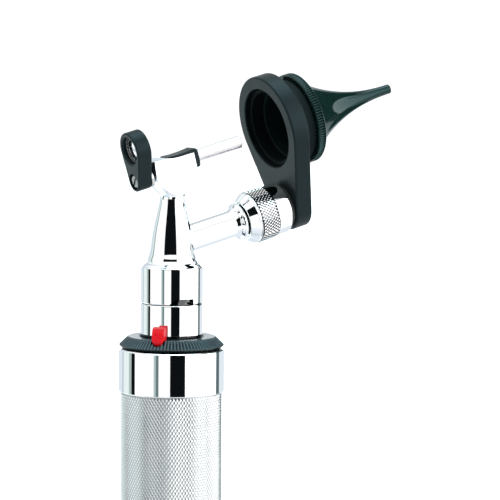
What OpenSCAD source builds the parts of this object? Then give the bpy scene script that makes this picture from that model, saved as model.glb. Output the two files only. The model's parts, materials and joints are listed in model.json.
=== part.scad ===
// Open operating otoscope head on a battery handle.
// +Z runs up the handle from its flat base, +X points towards the patient.
// Everything above the neck lies on an optical axis that is tilted up from +X.

/* [Handle] */
// Outer radius of the polished band and of the end cap
band_r = 14.5; // [14.3:0.1:15]
// Height of the lower edge of the polished band above the base
band_z = 118; // [118:1:124]
// Height of the polished band
band_h = 12; // [11:0.5:14]
// Outer radius of the knurled grip tube
grip_r = 13.9; // [13.8:0.05:14.1]
// Bore radius of the grip tube
grip_bore_r = 13.2; // [13.1:0.05:13.3]
// Height of the end cap
cap_h = 16; // [14:0.5:17]
// Pitch of the end cap's thread
cap_pitch = 1.25; // [1:0.25:1.5]

/* [Batteries] */
// Radius of one C cell
cell_r = 12.9; // [12.5:0.05:13]
// Length of one C cell with its terminal
cell_len = 50; // [49:0.5:50]

/* [Rheostat] */
// Widest radius of the black ring
ring_r = 14.37; // [14:0.05:14.5]
// Height of the black ring
ring_h = 3.15; // [3:0.05:3.5]
// Direction of the lock button, counted from +X about +Z
button_angle = 225; // [180:5:270]
// Width of the lock button
button_w = 3.4; // [3:0.1:4]
// How far the lock button presses in
button_travel = 1; // [0.6:0.1:1.1]

/* [Neck] */
// Radius of the handle's neck and of the head's collar
neck_r = 8.53; // [8.4:0.05:8.8]
// Height of the joint between handle and head, above the band's lower edge
joint_up = 24.4; // [23:0.1:26]
// Height of the head's collar
collar_h = 10; // [9.5:0.1:11]

/* [Head] */
// Tilt of the optical axis above the horizontal
tilt = 15; // [13:0.5:17]
// Height at which the optical axis crosses the handle's axis, above the band
optic_up = 63.9; // [63:0.05:66]
// Radius of the slim waist below the block
waist_r = 3.5; // [3.3:0.1:3.8]
// Thickness of the block
block_t = 7.4; // [7:0.1:8]
// Distance of the arm's axis below the optical axis
arm_drop = 22.5; // [22:0.1:23]
// Radius of the arm
arm_r = 3.75; // [3.5:0.05:4]

/* [Light] */
// Distance of the light tube's axis below the optical axis
light_drop = 1.2; // [1:0.1:1.5]
// Radius of the fibre bundle
fibre_r = 1.3; // [1:0.05:1.3]
// Bend radius of the fibre bundle
fibre_bend = 5; // [4.5:0.5:5]

/* [Speculum side] */
// Distance of the holder's rear face along the optical axis
holder_s = 30.3; // [30:0.1:32]
// Thickness of the speculum holder
holder_t = 5; // [4.8:0.1:5.4]
// Outer radius of the holder's large end
holder_r = 14.75; // [14.5:0.05:15]
// Outer radius of the holder's small end
holder_pivot_r = 7; // [6.5:0.1:7.5]
// Radius of the see-through recess in the holder
holder_recess_r = 11.32; // [11.25:0.05:11.5]
// Length of the speculum from its flange's rear face to its tip
speculum_len = 31.85; // [28:0.1:34]
// Outer radius of the speculum's tip
tip_r = 1.35; // [1.2:0.05:2]

/* [Lens side] */
// Distance of the lens holder's rear face along the optical axis
lens_s = -13; // [-13.5:0.1:-12.9]
// Thickness of the lens holder
lens_t = 4.3; // [4.1:0.1:4.3]
// Outer radius of the lens holder's large end
lens_holder_r = 5.05; // [4.9:0.05:5.3]
// Distance from the pivot screw to the lens centre
lens_reach = 9; // [8.5:0.1:9.5]
// Lean of the lens holder to the right-hand side, seen by the user
lens_lean = 10.8; // [0:0.2:20]

/* [Hidden] */
$fn = 96;
eps = 0.01;

// Clearances: a fit turns or slides, a gap keeps flat faces of moving bodies apart
fit = 0.05;
gap = 0.1;
edge = 0.3;

// Heights in the handle
cap_floor = 3;
cap_thread_h = 5;
cap_cup_r = 11.6;
cells_z = cap_h + cap_thread_h + 0.6;
cells_top = cells_z + 2 * cell_len;
tube_top = band_z + 6;
tube_spigot_r = grip_r - 0.35;
band_top = band_z + band_h;
band_wall = 1.8;
flange_h = 2.4;
flange_r = 12.35;
flange_z = band_top - band_wall - flange_h;
joint_z = band_z + joint_up;
ring_z = band_top + 0.15;
ring_top = ring_z + ring_h;
ring_top_r = 12.2;
ring_bore_r = neck_r + gap;
recess_h = 1.1;

// Bayonet: three lugs on the neck's spigot run in a groove inside the head's collar
spigot_r = 6.88;
spigot_h = 6;
socket_r = spigot_r + 0.07;
lug_r = 7.9;
lug_z = joint_z + 0.9;
lug_h = 1.6;
lug_arc = 24;
lug_angles = [28, 148, 268];
lug_turn = 30;
groove_r = lug_r + 0.15;
groove_z = lug_z - 0.2;
groove_h = lug_h + 0.6;
window_arc = [256, 286];
window_h = 1.75;

// Contact chain through the neck
sleeve_r = 4.55;
chamber_r = 2.6;
pin_r = 1.6;
pin_collar_z = joint_z - 4.9;
pin_collar_h = 1.5;
sleeve_z = flange_z + 0.4;
sleeve_top = joint_z + 4.6;
chamber_top = joint_z - 1.4;
lamp_z = joint_z + 6.9;

// Lamp inside the head
lamp_flange_z = lamp_z + 0.9;
lamp_flange_h = 1.4;
lamp_base_r = 4;
lamp_base_top = lamp_flange_z + 7.3;
bulb_r = 2.6;
bulb_top = lamp_base_top + 7;

// Head outline
head_z = joint_z + gap;
collar_top = joint_z + collar_h;
cone_z = collar_top + 1.2;
cone_r = 6.75;
waist_z = joint_z + 27.8;
optic_z = band_z + optic_up;
guide_top = optic_z - light_drop / cos(tilt) - fibre_bend * tan((90 - tilt) / 2);
guide_bore_r = fibre_r + 0.1;

// Stations along the optical axis
light_end = 21.1;
elbow_end = fibre_bend * tan((90 - tilt) / 2) - light_drop * tan(tilt);
light_start = elbow_end + 0.4;
shield_s = 4.95;
shield_t = 2.1;
shield_w = 4.2;
nut_s = 16.2;
nut_end = 29;
stud_r = 2.5;
stud_s = 8;
bush_r = 3.4;
bush_end = holder_s + 3.7;
stud_end = bush_end - 0.1;
seat_s = holder_s + 1.5;
boss_s = holder_s + holder_t;
boss_t = 0.9;
boss_r = 13.4;
seat_bore_r = 10;
seat_spigot_r = holder_recess_r - 0.12;
seat_r = 11.5;
seat_end = holder_s + 9.2;
flange_s = seat_end + 0.15;
speculum_flange_t = 2.5;
speculum_flange_r = 12.8;
speculum_spigot_r = seat_bore_r - 0.07;
speculum_bore_r = 9.1;
flare_power = 2.3;
flare_base_r = 10.8;
flare_steps = 24;
lens_pivot_drop = 2.8;
lens_pivot_r = 2.8;
lens_back = lens_s + lens_t;
lens_bore_r = 3.9;
lens_shoulder_r = 3.3;

/* Shared shapes */

// A solid turned about Z from its [radius, height] outline
module turned(outline) rotate_extrude() polygon(outline);

// A tube about Z from z0 to z1
module tube(outer, inner, z0, z1) {
    difference() {
        translate([0, 0, z0]) cylinder(r = outer, h = z1 - z0);
        translate([0, 0, z0 - 1]) cylinder(r = inner, h = z1 - z0 + 2);
    }
}

// A rod about Z from z0 to z1
module rod(r, z0, z1) translate([0, 0, z0]) cylinder(r = r, h = z1 - z0);

// Children in the tilted frame: X along the optical axis, Z across it in the upright plane
module optic() translate([0, 0, optic_z]) rotate([0, -tilt, 0]) children();

// Children drawn about Z are laid along the optical direction, at the given drop
module along(drop = 0) optic() translate([0, 0, -drop]) rotate([0, 90, 0]) children();

// A sector of the plane between two angles
module sector(r, from, to) {
    polygon(concat([[0, 0]], [for (i = [0:8]) r * [cos(from + (to - from) * i / 8),
                                                   sin(from + (to - from) * i / 8)]]));
}

// A teardrop plate: two round ends joined just inside their common tangents
module teardrop(r_big, r_small, reach, from, to) {
    slope = asin((r_big - r_small) / reach);
    side_big = 0.998 * r_big * [cos(slope), sin(slope)];
    side_small = 0.998 * r_small * [cos(slope), sin(slope)];
    rod(r_big, from, to);
    translate([reach, 0, 0]) rod(r_small, from, to);
    translate([0, 0, from]) linear_extrude(to - from) polygon([
        [side_big[1], side_big[0]], [reach + side_small[1], side_small[0]],
        [reach + side_small[1], -side_small[0]], [side_big[1], -side_big[0]],
    ]);
}

// A coil spring about Z whose radius runs from r0 to r1
module coil(r0, r1, wire, z0, z1, turns) {
    sides = 8;
    steps = turns * 18;
    rings = [for (i = [0:steps]) let (
        t = i / steps,
        a = 360 * turns * t,
        r = r0 + (r1 - r0) * t,
        z = z0 + wire + (z1 - z0 - 2 * wire) * t
    ) [for (k = [0:sides - 1]) let (b = 360 * k / sides)
        [(r + wire * cos(b)) * cos(a), (r + wire * cos(b)) * sin(a), z + wire * sin(b)]]];
    points = [for (ring = rings) each ring];
    walls = [for (i = [0:steps - 1], k = [0:sides - 1]) let (n = (k + 1) % sides)
        [i * sides + k, i * sides + n, (i + 1) * sides + n, (i + 1) * sides + k]];
    polyhedron(points, concat(walls, [[for (k = [0:sides - 1]) sides - 1 - k]],
                              [[for (k = [0:sides - 1]) steps * sides + k]]));
}

/* Handle */

module grip_tube() color("silver") difference() {
    union() {
        rod(grip_r, cap_h + gap, band_z);
        rod(tube_spigot_r, band_z - 1, tube_top);
    }
    rod(grip_bore_r, 0, tube_top + 1);
}

module upper_band() color("gainsboro") difference() {
    turned([[0, band_z], [band_r - edge, band_z], [band_r, band_z + edge],
            [band_r, band_top - edge], [band_r - edge, band_top], [0, band_top]]);
    rod(tube_spigot_r + fit, band_z - 1, tube_top + gap);
    rod(flange_r + fit, tube_top, band_top - band_wall);
    rod(neck_r + fit, band_z, band_top + 1);
}

module bayonet_neck() color("gainsboro") difference() {
    union() {
        rod(flange_r, flange_z, flange_z + flange_h);
        turned([[0, flange_z], [neck_r, flange_z], [neck_r, joint_z - edge],
                [neck_r - edge, joint_z], [0, joint_z]]);
        turned([[0, joint_z - 1], [spigot_r, joint_z - 1], [spigot_r, joint_z + spigot_h - edge],
                [spigot_r - edge, joint_z + spigot_h], [0, joint_z + spigot_h]]);
        for (a = lug_angles)
            translate([0, 0, lug_z]) linear_extrude(lug_h) intersection() {
                circle(r = lug_r);
                sector(lug_r + 1, a - lug_arc / 2, a + lug_arc / 2);
            }
    }
    rod(sleeve_r + fit, flange_z - 1, joint_z + spigot_h + 1);
}

module neck_insulator() color("ivory") difference() {
    rod(sleeve_r, sleeve_z, sleeve_top);
    rod(chamber_r, sleeve_z + 2, chamber_top);
    rod(pin_r + fit, sleeve_z + 1, sleeve_top + 1);
    rod(1.2, sleeve_z - 1, sleeve_z + 3);
}

// Rivet that takes the current from the upper cell into the neck
module battery_contact() color("goldenrod") union() {
    rod(3, cells_top + 0.1, cells_top + 1);
    rod(1.1, cells_top + 0.9, sleeve_z + 1.9);
}

module contact_carrier() color("dimgray") difference() {
    rod(grip_bore_r - gap, cells_top + 1, cells_top + 2.4);
    rod(1.15, cells_top, cells_top + 4);
}

// Wound resistance strip under the ring, as long as the wiper's way from its off position
module resistor_track() color("saddlebrown") translate([0, 0, band_top])
    linear_extrude(0.35) intersection() {
        difference() {
            circle(r = 12.4);
            circle(r = 9.8);
        }
        sector(20, -40, 70);
    }

module cell(z) {
    body_h = cell_len - 2;
    turned([[0, z], [cell_r - 1, z], [cell_r, z + 1], [cell_r, z + body_h - 1],
            [cell_r - 1, z + body_h], [0, z + body_h]]);
    rod(3, z + body_h - 1, z + cell_len - fit);
}

module cell_lower() color("royalblue") cell(cells_z);
module cell_upper() color("royalblue") cell(cells_z + cell_len);

module battery_spring() color("darkgray")
    coil(10, 5, 0.6, cap_floor + fit, cells_z - fit, 5);

module end_cap() color("gainsboro") difference() {
    union() {
        turned([[0, 0], [band_r - 0.8, 0], [band_r, 0.8], [band_r, cap_h - edge],
                [band_r - edge, cap_h], [0, cap_h]]);
        rod(grip_bore_r - fit, cap_h - 1, cap_h + cap_thread_h);
    }
    rod(cap_cup_r, cap_floor, cap_h + cap_thread_h + 1);
}

/* Rheostat ring and its lock */

button_in = 9.7;
button_out = 12.6;
button_z = ring_top - 1.6;
button_top = ring_top + 3.6;

module rheostat_ring() color("darkslategray") difference() {
    turned([[0, ring_z], [ring_r - 0.35, ring_z], [ring_r, ring_z + 0.8],
            [ring_top_r, ring_top], [0, ring_top]]);
    rod(ring_bore_r, ring_z - 1, ring_top + 1);
    translate([0, 0, ring_z - 1]) linear_extrude(recess_h + 1) difference() {
        circle(r = 12.6);
        circle(r = 9.5);
        sector(20, button_angle - 20, button_angle + 20);
    }
    rotate([0, 0, button_angle])
        translate([button_in - 0.15, -button_w / 2 - 0.15, button_z - button_travel - 0.2])
            cube([button_out - button_in + 0.3, button_w + 0.3, ring_h]);
}

module ring_wiper() color("goldenrod") translate([0, 0, band_top + 0.45])
    linear_extrude(ring_z + recess_h - band_top - 0.45) intersection() {
        difference() {
            circle(r = 12);
            circle(r = 10.2);
        }
        sector(20, 80, 100);
    }

module lock_button() color("red") rotate([0, 0, button_angle])
    translate([0, button_w / 2, 0]) rotate([90, 0, 0]) linear_extrude(button_w)
        polygon([[button_in, button_z], [button_out - 0.4, button_z],
                 [button_out, button_z + 0.6], [button_out - 0.7, button_top - 0.9],
                 [button_out - 1.2, button_top - 0.5], [button_in + 0.5, button_top],
                 [button_in, button_top - 0.4]]);

module button_spring() color("darkgray") rotate([0, 0, button_angle])
    translate([(button_in + button_out) / 2, 0, 0])
        coil(1.1, 1.1, 0.14, button_z - button_travel - 0.15, button_z, 2);

/* Spring-loaded contact in the neck */

module contact_pin() color("goldenrod") union() {
    rod(chamber_r - 0.07, pin_collar_z, pin_collar_z + pin_collar_h);
    turned([[0, pin_collar_z], [pin_r, pin_collar_z], [pin_r, lamp_z - 0.5],
            [pin_r - 0.5, lamp_z - fit], [0, lamp_z - fit]]);
}

module contact_spring() color("darkgray")
    coil(1.95, 1.95, 0.28, sleeve_z + 2, pin_collar_z, 5);

/* Head */

// Elbow of the fibres' way, from straight up to the optical direction, a hair slimmer than
// the straight lengths that it meets
module fibre_elbow(r) translate([fibre_bend, 0, guide_top]) rotate([90, 0, 0])
    rotate([0, 0, 90 + tilt]) rotate_extrude(angle = 90 - tilt)
        translate([fibre_bend, 0]) circle(r = r - 0.04);

// Outside of the turned collar, cone and waist
module head_turned() turned([
    [0, head_z], [neck_r - edge, head_z], [neck_r, head_z + edge], [neck_r, collar_top - edge],
    [neck_r - edge, collar_top], [cone_r + 0.45, collar_top + 0.45], [cone_r + 0.1, cone_z - 0.3],
    [cone_r, cone_z], [cone_r - 0.75, cone_z + 3.4], [cone_r - 1.5, cone_z + 8.8],
    [waist_r + 0.5, waist_z - 2], [waist_r, waist_z], [waist_r - 0.1, waist_z + 2.5],
    [0, waist_z + 2.5],
]);

// Side outline of the block in the optical frame
module block_outline() polygon([
    [-8, 1.45], [-3.1, 1.2], [-1.6, 0.84], [0.3, 0.66], [4.93, 0.6], [4.93, -7.6], [4.6, -8.5],
    [1.2, -9.8], [0.5, -10.6], [0.3, -11.6], [-5.6, -11.6], [-5.7, -9.4], [-6.2, -7.6],
    [-6.9, -5.4], [-6.9, -0.1],
]);

module head_body() color("gainsboro") difference() {
    union() {
        head_turned();
        optic() translate([0, block_t / 2, 0]) rotate([90, 0, 0])
            linear_extrude(block_t) block_outline();
        along(lens_pivot_drop) rod(2.6, -7.6, -6.5);
    }
    // Socket, bayonet groove, entry slots and the open window in the collar
    rod(socket_r, joint_z - 1, joint_z + spigot_h + 0.6);
    rod(groove_r, groove_z, groove_z + groove_h);
    for (a = lug_angles)
        translate([0, 0, joint_z - 1]) linear_extrude(groove_z - joint_z + 1 + eps) intersection() {
            circle(r = groove_r);
            sector(groove_r + 1, a + lug_turn - lug_arc / 2 - 2, a + lug_turn + lug_arc / 2 + 2);
        }
    translate([0, 0, joint_z - 1]) linear_extrude(window_h + 1)
        sector(neck_r + 2, window_arc[0], window_arc[1]);
    rotate([0, 0, window_arc[0]]) translate([neck_r, 0, joint_z + window_h])
        rotate([45, 0, 0]) translate([-1.7, -3, -4]) cube([3, 3, 4]);
    // Lamp bore, then the way of the fibres up, round and out along the light tube
    rod(lamp_base_r + 0.7, joint_z + spigot_h, lamp_flange_z + lamp_flange_h + gap);
    rod(lamp_base_r + 0.1, joint_z + spigot_h, lamp_base_top + gap);
    rod(bulb_r + 0.3, joint_z + spigot_h, bulb_top + 0.3);
    rod(guide_bore_r, bulb_top, guide_top);
    fibre_elbow(guide_bore_r);
    along(light_drop) rod(guide_bore_r, elbow_end, 8);
    along(light_drop) rod(1.6, light_start - 0.1, 8);
    along(lens_pivot_drop) rod(1.2, -9, -3.9);
}

module arm() color("gainsboro") difference() {
    along(arm_drop) turned([
        [0, -2.5], [arm_r, -2.5], [arm_r, 12.9], [arm_r + 0.12, 13.5], [arm_r + 0.5, 14.1],
        [arm_r + 1.1, 14.5], [5.15, 14.75], [5.3, 15.1], [5.15, 15.6], [4.7, 15.8], [0, 15.8],
    ]);
    head_turned();
    along(arm_drop) rod(stud_r, stud_s, 17);
}

module pivot_stud() color("darkgray") along(arm_drop) difference() {
    rod(stud_r, stud_s, stud_end);
    rod(1.55, bush_end - 8, bush_end);
}

module pivot_screw() color("darkgray") along(arm_drop) difference() {
    union() {
        turned([[0, bush_end + 0.1], [4.6, bush_end + 0.1], [4.6, boss_s - 0.4],
                [4.3, boss_s - 0.15], [0, boss_s - 0.15]]);
        rod(1.5, bush_end - 7, bush_end + 0.2);
    }
    translate([-5, -0.5, boss_s - 0.65]) cube([10, 1, 1]);
}

module lamp_base() color("goldenrod") union() {
    rod(lamp_base_r + 0.6, lamp_flange_z, lamp_flange_z + lamp_flange_h);
    rod(lamp_base_r, lamp_flange_z, lamp_base_top);
}

module lamp_bulb() color("lightcyan") union() {
    rod(bulb_r, lamp_base_top, bulb_top - bulb_r);
    translate([0, 0, bulb_top - bulb_r]) sphere(r = bulb_r);
}

module lamp_contact() color("dimgray") rod(2.2, lamp_z, lamp_flange_z);

module fibre_bundle() color("lightyellow") union() {
    rod(fibre_r, bulb_top + 0.4, guide_top + eps);
    fibre_elbow(fibre_r);
    along(light_drop) rod(fibre_r, elbow_end - eps, light_end - 0.6);
}

module light_tube() color("silver") along(light_drop) turned([
    [fibre_r + 0.05, light_start], [1.55, light_start], [1.55, shield_s + 2.3],
    [1.6, shield_s + 3.2], [1.75, light_end], [1.5, light_end], [fibre_r + 0.05, light_end - 0.6],
]);

// Angle plate let into the block's top corner, round the root of the light tube, that keeps
// stray light from the eye
module light_shield() color("darkslategray") difference() {
    optic() translate([0, shield_w / 2, 0]) rotate([90, 0, 0]) linear_extrude(shield_w)
        polygon([[-2.9, 1.17], [-1.6, 0.86], [0.3, 0.68], [shield_s, 0.62],
                 [shield_s, -3.95], [shield_s + shield_t - 0.3, -3.9],
                 [shield_s + shield_t, -2.4], [shield_s + shield_t, 0.6],
                 [shield_s + 1.4, 1.42], [shield_s + 0.35, 1.3], [3.2, 1.14], [0.4, 1.12],
                 [-2, 1.3]]);
    along(light_drop) rod(1.6, 0, 12);
}

module lens_screw() color("darkgray") along(lens_pivot_drop) difference() {
    union() {
        rod(1.95, lens_s + 0.35, lens_s + 1.4);
        rod(1.2, lens_s + 1, -4);
    }
    rotate([0, 0, 35]) translate([-3, -0.3, lens_s - 1]) cube([6, 0.6, 1.8]);
}

module wave_washer() color("darkgray") along(lens_pivot_drop)
    tube(2.7, 1.25, lens_back + fit, -7.65);

/* Knurled nut that sets the friction of the holder */

module tension_nut() color("gainsboro") along(arm_drop) difference() {
    turned([[0, nut_s], [5.55, nut_s], [7.3, nut_s + 3], [7.3, nut_s + 3.3], [7, nut_s + 3.5],
            [7.4, nut_s + 3.8], [7.4, nut_s + 8.2], [7.1, nut_s + 8.4], [7.1, nut_end - 0.4],
            [6.8, nut_end], [0, nut_end]]);
    rod(stud_r + fit, nut_s - 1, nut_end + 1);
}

/* Speculum holder */

module speculum_holder() color("darkslategray") difference() {
    union() {
        along() teardrop(holder_r, holder_pivot_r, arm_drop, holder_s, holder_s + holder_t);
        along() rod(boss_r, boss_s - 1, boss_s + boss_t);
    }
    along() rod(holder_recess_r, holder_s - 1, seat_s);
    along() rod(seat_spigot_r, holder_s, boss_s + 2);
    along(arm_drop) rod(bush_r, holder_s - 1, bush_end + 1);
    along(arm_drop) rod(4.9, bush_end, boss_s + 1);
}

module pivot_bush() color("goldenrod") along(arm_drop)
    tube(bush_r, stud_r + fit, holder_s, bush_end);

module speculum_seat() color("darkslategray") along() difference() {
    union() {
        rod(seat_spigot_r, seat_s, boss_s + boss_t + 1);
        rod(seat_r, boss_s + boss_t, seat_end);
    }
    rod(seat_bore_r, seat_s - 1, seat_end + 1);
}

module friction_washer() color("dimgray") along(arm_drop)
    tube(6, stud_r + fit, nut_end + gap, holder_s);

/* Lens holder */

// Children drawn about Z at the lens pivot, leaned with the lens holder
module lens_frame() along(lens_pivot_drop) rotate([0, 0, 180 + lens_lean]) children();

module lens_holder() color("darkslategray") lens_frame() difference() {
    translate([lens_reach, 0, 0]) rotate([0, 0, 180])
        teardrop(lens_holder_r, lens_pivot_r, lens_reach, lens_s, lens_back);
    translate([lens_reach, 0, 0]) rod(lens_bore_r, lens_s - 1, lens_back - 0.9);
    translate([lens_reach, 0, 0]) rod(lens_shoulder_r, lens_s, lens_back + 1);
    rod(2.2, lens_s - 1, lens_s + 1.45);
    rod(1.25, lens_s, lens_back + 1);
}

module magnifier_lens() color("lightcyan") lens_frame() translate([lens_reach, 0, 0])
    intersection() {
        rod(lens_bore_r - fit, lens_s + 1.7, lens_back - 0.95);
        translate([0, 0, lens_s + 1.75 + 10]) sphere(r = 10);
    }

module lens_ring() color("silver") lens_frame() translate([lens_reach, 0, 0])
    tube(lens_bore_r - fit, 3.3, lens_s + 1.1, lens_s + 2);

/* Speculum */

// Outer radius of the flared cone, t running from its base to its tip
function flare_r(t) = tip_r + (flare_base_r - tip_r) * pow(1 - t, flare_power);
function flare_s(t) = flange_s + speculum_flange_t + t * (speculum_len - speculum_flange_t);
function bore_r(t) = min(speculum_bore_r, flare_r(t) - 0.85 + 0.4 * t);

module speculum() color("#16211f") along() turned(concat(
    [[speculum_bore_r, seat_s + 3.6], [speculum_spigot_r, seat_s + 3.6],
     [speculum_spigot_r, flange_s], [speculum_flange_r - edge, flange_s],
     [speculum_flange_r, flange_s + edge],
     [speculum_flange_r, flange_s + speculum_flange_t - edge],
     [speculum_flange_r - edge, flange_s + speculum_flange_t]],
    [for (i = [0:flare_steps]) [flare_r(i / flare_steps), flare_s(i / flare_steps)]],
    [for (i = [flare_steps:-1:0]) [bore_r(i / flare_steps), flare_s(i / flare_steps)]]
));

grip_tube();
upper_band();
bayonet_neck();
neck_insulator();
battery_contact();
contact_carrier();
resistor_track();
cell_lower();
cell_upper();
battery_spring();
end_cap();
rheostat_ring();
ring_wiper();
lock_button();
button_spring();
contact_pin();
contact_spring();
head_body();
arm();
pivot_stud();
pivot_screw();
lamp_base();
lamp_bulb();
lamp_contact();
fibre_bundle();
light_tube();
light_shield();
lens_screw();
wave_washer();
tension_nut();
speculum_holder();
pivot_bush();
speculum_seat();
friction_washer();
lens_holder();
magnifier_lens();
lens_ring();
speculum();
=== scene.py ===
"""Studio scene of an open operating otoscope on its battery handle, built around its CAD frame."""

import json
import math
from collections import namedtuple

import bmesh
import bpy
import numpy as np
from mathutils import Euler, Matrix, Vector


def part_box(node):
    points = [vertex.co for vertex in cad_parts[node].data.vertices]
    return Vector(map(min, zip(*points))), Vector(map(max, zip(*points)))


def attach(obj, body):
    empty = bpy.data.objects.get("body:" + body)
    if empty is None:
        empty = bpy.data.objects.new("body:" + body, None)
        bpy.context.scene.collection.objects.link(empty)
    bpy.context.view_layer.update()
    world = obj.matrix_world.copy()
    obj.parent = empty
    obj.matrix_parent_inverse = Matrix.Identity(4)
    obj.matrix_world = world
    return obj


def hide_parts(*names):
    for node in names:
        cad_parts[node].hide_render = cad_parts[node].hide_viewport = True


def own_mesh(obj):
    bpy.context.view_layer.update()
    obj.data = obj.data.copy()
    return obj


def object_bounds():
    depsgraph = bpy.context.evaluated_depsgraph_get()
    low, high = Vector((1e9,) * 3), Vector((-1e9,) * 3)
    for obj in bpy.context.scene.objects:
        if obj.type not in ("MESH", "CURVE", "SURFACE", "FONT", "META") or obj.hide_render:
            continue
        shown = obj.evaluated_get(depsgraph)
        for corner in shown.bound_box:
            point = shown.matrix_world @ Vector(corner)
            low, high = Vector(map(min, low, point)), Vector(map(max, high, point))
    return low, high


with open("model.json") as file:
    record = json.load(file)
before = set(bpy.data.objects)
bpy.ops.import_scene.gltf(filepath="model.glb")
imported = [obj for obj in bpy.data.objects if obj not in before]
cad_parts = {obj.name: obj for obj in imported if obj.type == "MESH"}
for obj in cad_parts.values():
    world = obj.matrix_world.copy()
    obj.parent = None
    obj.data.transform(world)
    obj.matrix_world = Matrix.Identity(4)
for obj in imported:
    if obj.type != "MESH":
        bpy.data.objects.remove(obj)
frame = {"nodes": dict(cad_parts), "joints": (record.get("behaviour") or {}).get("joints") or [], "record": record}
cad_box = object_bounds()
nodes = frame["nodes"]
joints = {joint["name"]: joint for joint in frame["joints"]}

BODY_OF = {node: body for body, members in frame["record"]["behaviour"]["bodies"].items()
           for node in members}
SLOT_OF = {part["node"]: part["material_slot"] for part in frame["record"]["subparts"]}

MM = 0.001
TURN = 2 * math.pi


# ---------------------------------------------------------------- camera and studio

# Where the camera stands, in metres, and how it looks: degrees, counted from +Y and the horizon
CAMERA_PLACE = Vector((-0.35104, -0.67851, 0.22611))
CAMERA_AZIMUTH = -28.957
CAMERA_DOWN = 5.163
CAMERA_ROLL = 0.431
CAMERA_LENS = 201.6
CAMERA_NEAR = 0.01


def add_object(name, data):
    thing = bpy.data.objects.new(name, data)
    bpy.context.scene.collection.objects.link(thing)
    return thing


def add_camera():
    azimuth, down = math.radians(CAMERA_AZIMUTH), math.radians(CAMERA_DOWN)
    level = Euler((math.pi / 2 - down, 0, azimuth)).to_matrix()
    rolled = level @ Matrix.Rotation(math.radians(CAMERA_ROLL), 3, "Z")
    data = bpy.data.cameras.new("camera")
    data.lens = CAMERA_LENS
    data.clip_start = CAMERA_NEAR
    camera = add_object("camera", data)
    camera.matrix_world = Matrix.Translation(CAMERA_PLACE) @ rolled.to_4x4()
    bpy.context.scene.camera = camera


class Graph:
    """A short way to write a node tree"""

    def __init__(self, tree):
        self.tree = tree
        tree.nodes.clear()

    def add(self, kind, inputs=None, **settings):
        node = self.tree.nodes.new(kind)
        for key, value in settings.items():
            setattr(node, key, value)
        for key, value in (inputs or {}).items():
            if isinstance(value, bpy.types.NodeSocket):
                self.tree.links.new(value, node.inputs[key])
            else:
                node.inputs[key].default_value = value
        return node

    def math(self, operation, *values):
        inputs = dict(enumerate(values))
        return self.add("ShaderNodeMath", inputs, operation=operation).outputs[0]

    def ramp(self, value, low, high, to_low=0.0, to_high=1.0):
        inputs = {"Value": value, "From Min": low, "From Max": high,
                  "To Min": to_low, "To Max": to_high}
        return self.add("ShaderNodeMapRange", inputs, interpolation_type="SMOOTHSTEP").outputs[0]

    def mix(self, factor, low, high):
        inputs = {0: factor, 6: low, 7: high}
        return self.add("ShaderNodeMix", inputs, data_type="RGBA").outputs[2]

    def vector(self, operation, *values):
        """A vector operation. A dot product or a length gives a number."""
        node = self.add("ShaderNodeVectorMath", dict(enumerate(values)), operation=operation)
        return node.outputs["Value" if operation in ("DOT_PRODUCT", "LENGTH") else "Vector"]

    def offset(self, axis):
        """Where the shaded point lies from an axis's origin, in metres"""
        place = self.add("ShaderNodeTexCoord").outputs["Object"]
        return self.vector("SUBTRACT", place, axis.origin)

    def within(self, zone):
        """1 deep inside a zone round an axis, 0 outside it"""
        offset = self.offset(zone.axis)
        along = self.vector("DOT_PRODUCT", offset, zone.axis.direction)
        away = self.vector("LENGTH", self.vector("CROSS_PRODUCT", offset, zone.axis.direction))
        inside = self.ramp(away, zone.foot * MM, zone.top * MM, 1, 0)
        above = self.math("GREATER_THAN", along, zone.low * MM)
        below = self.math("LESS_THAN", along, zone.high * MM)
        return self.math("MULTIPLY", inside, self.math("MULTIPLY", above, below))

    def between(self, ribs):
        """1 in the grooves between the ribs round an axis, where shade is painted, 0 on the ribs and inside of
        them
        """
        offset = self.offset(ribs.axis)
        x, y = (self.vector("DOT_PRODUCT", offset, side) for side in (ribs.axis.x, ribs.axis.y))
        turned = self.math("MULTIPLY", self.math("ARCTAN2", y, x), float(ribs.count))
        groove = self.ramp(self.math("COSINE", turned), -0.75, 0.15, 1, 0)
        squares = self.math("MULTIPLY", x, x), self.math("MULTIPLY", y, y)
        away = self.math("SQRT", self.math("ADD", *squares))
        return self.math("MULTIPLY", groove, self.math("GREATER_THAN", away, ribs.inner * MM))

    def finish(self, shader, output="ShaderNodeOutputMaterial"):
        """Sends the tree's last shader to its output"""
        self.tree.links.new(shader.outputs[0], self.add(output).inputs[0])


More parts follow.
